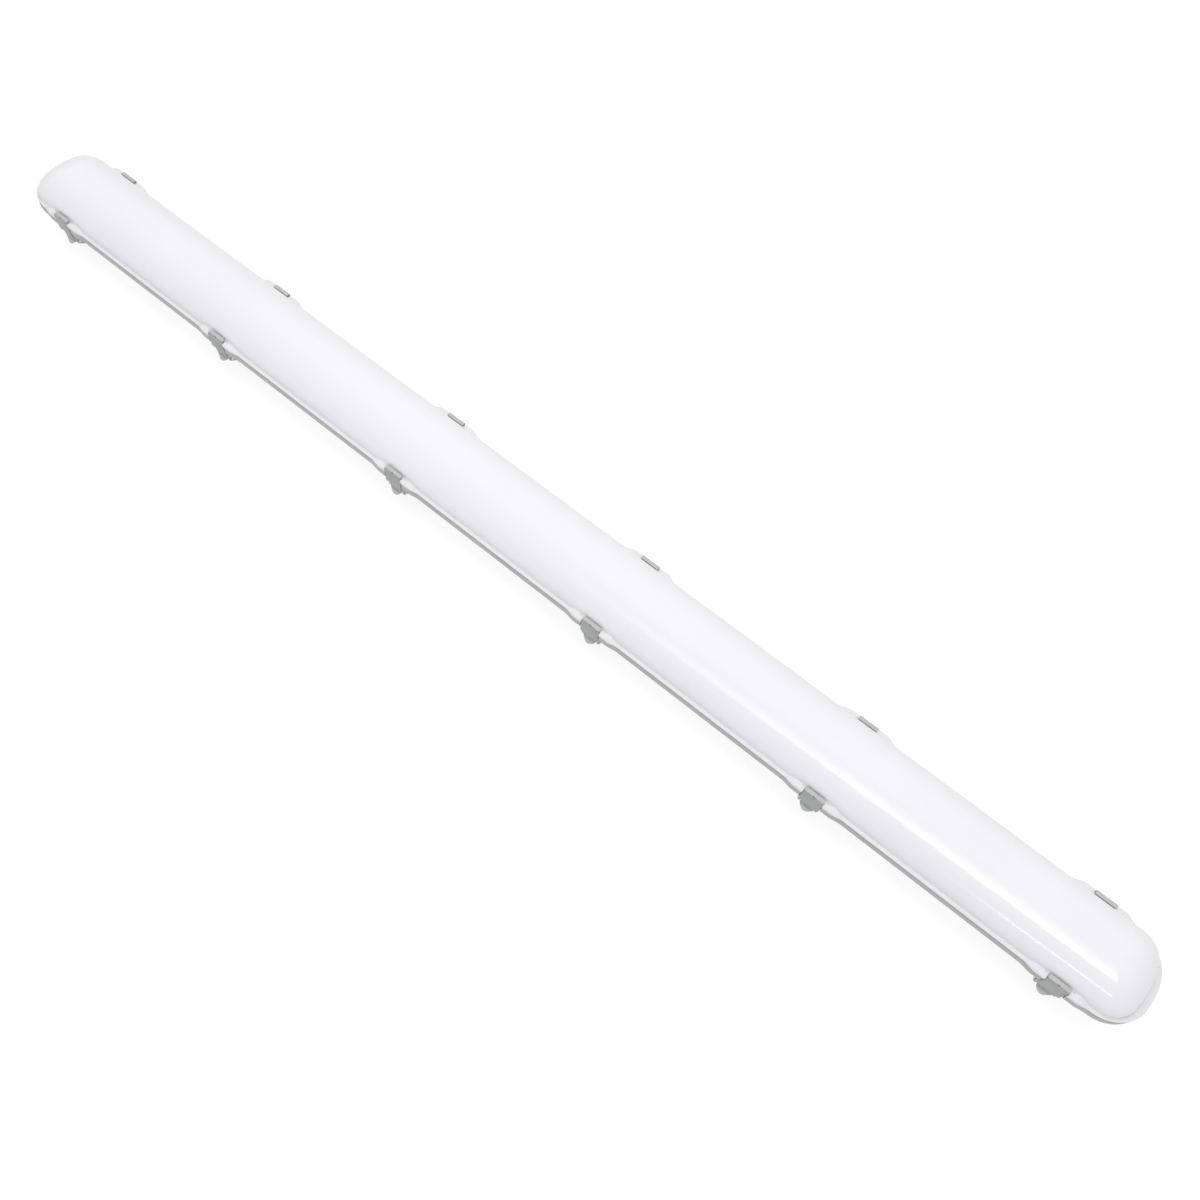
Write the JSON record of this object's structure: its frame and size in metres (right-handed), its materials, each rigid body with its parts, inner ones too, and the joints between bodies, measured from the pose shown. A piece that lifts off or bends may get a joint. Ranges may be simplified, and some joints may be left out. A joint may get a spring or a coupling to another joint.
{
  "type": "vapor tight light fixture",
  "caption": "Long sealed ceiling luminaire: an opal domed lens clamped to a grey trough housing by swinging side latches, on two spring brackets, with a cable gland.",
  "frame": {"origin": "centre of the bounding box at the mounting face, where the backs of the brackets meet the ceiling", "axes": "+X along the fixture towards the cable gland, +Y across it, +Z from the mounting face out to the lens"},
  "size_m": [1.566, 0.1084, 0.0932],
  "materials": {
    "opal_lens": "smooth opal, glossy",
    "housing_plastic": "moulded grey, satin",
    "latch_plastic": "moulded grey, satin",
    "gasket_foam": "foamed seal, matt",
    "tray_paint": "white powder coat",
    "board_white": "white solder mask",
    "driver_case": "white enamel",
    "terminal_plastic": "moulded pale grey",
    "wire_brown": "insulation",
    "wire_green": "insulation",
    "wire_blue": "insulation",
    "gland_plastic": "moulded grey nylon",
    "seal_rubber": "black rubber",
    "stainless_steel": "brushed stainless"
  },
  "bodies": {
    "fixture": {"housing": "housing_plastic", "gasket": "gasket_foam", "lens": "opal_lens", "gear_tray": "tray_paint", "tray_screw_1": "stainless_steel", "tray_screw_2": "stainless_steel", "tray_screw_3": "stainless_steel", "tray_screw_4": "stainless_steel", "light_board_1": "board_white", "light_board_2": "board_white", "light_board_3": "board_white", "driver": "driver_case", "terminal_block": "terminal_plastic", "wire_brown": "wire_brown", "wire_green": "wire_green", "wire_blue": "wire_blue", "gland_body": "gland_plastic", "gland_nut": "gland_plastic", "gland_seal": "seal_rubber", "gland_locknut": "gland_plastic", "blanking_plug": "gland_plastic", "plug_ring": "seal_rubber", "bracket_1": "stainless_steel", "bracket_2": "stainless_steel", "pin_near_1": "stainless_steel", "pin_near_2": "stainless_steel", "pin_near_3": "stainless_steel", "pin_near_4": "stainless_steel", "pin_near_5": "stainless_steel", "pin_near_6": "stainless_steel", "pin_far_1": "stainless_steel", "pin_far_2": "stainless_steel", "pin_far_3": "stainless_steel", "pin_far_4": "stainless_steel", "pin_far_5": "stainless_steel", "pin_far_6": "stainless_steel"},
    "latch_near_1": {"latch_near_1": "latch_plastic"},
    "latch_near_2": {"latch_near_2": "latch_plastic"},
    "latch_near_3": {"latch_near_3": "latch_plastic"},
    "latch_near_4": {"latch_near_4": "latch_plastic"},
    "latch_near_5": {"latch_near_5": "latch_plastic"},
    "latch_near_6": {"latch_near_6": "latch_plastic"},
    "latch_far_1": {"latch_far_1": "latch_plastic"},
    "latch_far_2": {"latch_far_2": "latch_plastic"},
    "latch_far_3": {"latch_far_3": "latch_plastic"},
    "latch_far_4": {"latch_far_4": "latch_plastic"},
    "latch_far_5": {"latch_far_5": "latch_plastic"},
    "latch_far_6": {"latch_far_6": "latch_plastic"}
  },
  "joints": [
    {"name": "latch_near_1_swing", "type": "hinge", "parent": "fixture", "child": "latch_near_1", "pos_m": [-0.704, -0.0455, 0.0303], "axis": [1, 0, 0], "range_deg": [0, 95]},
    {"name": "latch_near_2_swing", "type": "hinge", "parent": "fixture", "child": "latch_near_2", "pos_m": [-0.42753, -0.0455, 0.0303], "axis": [1, 0, 0], "range_deg": [0, 95]},
    {"name": "latch_near_3_swing", "type": "hinge", "parent": "fixture", "child": "latch_near_3", "pos_m": [-0.14251, -0.0455, 0.0303], "axis": [1, 0, 0], "range_deg": [0, 95]},
    {"name": "latch_near_4_swing", "type": "hinge", "parent": "fixture", "child": "latch_near_4", "pos_m": [0.14251, -0.0455, 0.0303], "axis": [1, 0, 0], "range_deg": [0, 95]},
    {"name": "latch_near_5_swing", "type": "hinge", "parent": "fixture", "child": "latch_near_5", "pos_m": [0.42753, -0.0455, 0.0303], "axis": [1, 0, 0], "range_deg": [0, 95]},
    {"name": "latch_near_6_swing", "type": "hinge", "parent": "fixture", "child": "latch_near_6", "pos_m": [0.704, -0.0455, 0.0303], "axis": [1, 0, 0], "range_deg": [0, 95]},
    {"name": "latch_far_1_swing", "type": "hinge", "parent": "fixture", "child": "latch_far_1", "pos_m": [-0.704, 0.0455, 0.0303], "axis": [-1, 0, 0], "range_deg": [0, 95]},
    {"name": "latch_far_2_swing", "type": "hinge", "parent": "fixture", "child": "latch_far_2", "pos_m": [-0.42753, 0.0455, 0.0303], "axis": [-1, 0, 0], "range_deg": [0, 95]},
    {"name": "latch_far_3_swing", "type": "hinge", "parent": "fixture", "child": "latch_far_3", "pos_m": [-0.14251, 0.0455, 0.0303], "axis": [-1, 0, 0], "range_deg": [0, 95]},
    {"name": "latch_far_4_swing", "type": "hinge", "parent": "fixture", "child": "latch_far_4", "pos_m": [0.14251, 0.0455, 0.0303], "axis": [-1, 0, 0], "range_deg": [0, 95]},
    {"name": "latch_far_5_swing", "type": "hinge", "parent": "fixture", "child": "latch_far_5", "pos_m": [0.42753, 0.0455, 0.0303], "axis": [-1, 0, 0], "range_deg": [0, 95]},
    {"name": "latch_far_6_swing", "type": "hinge", "parent": "fixture", "child": "latch_far_6", "pos_m": [0.704, 0.0455, 0.0303], "axis": [-1, 0, 0], "range_deg": [0, 95]}
  ]
}
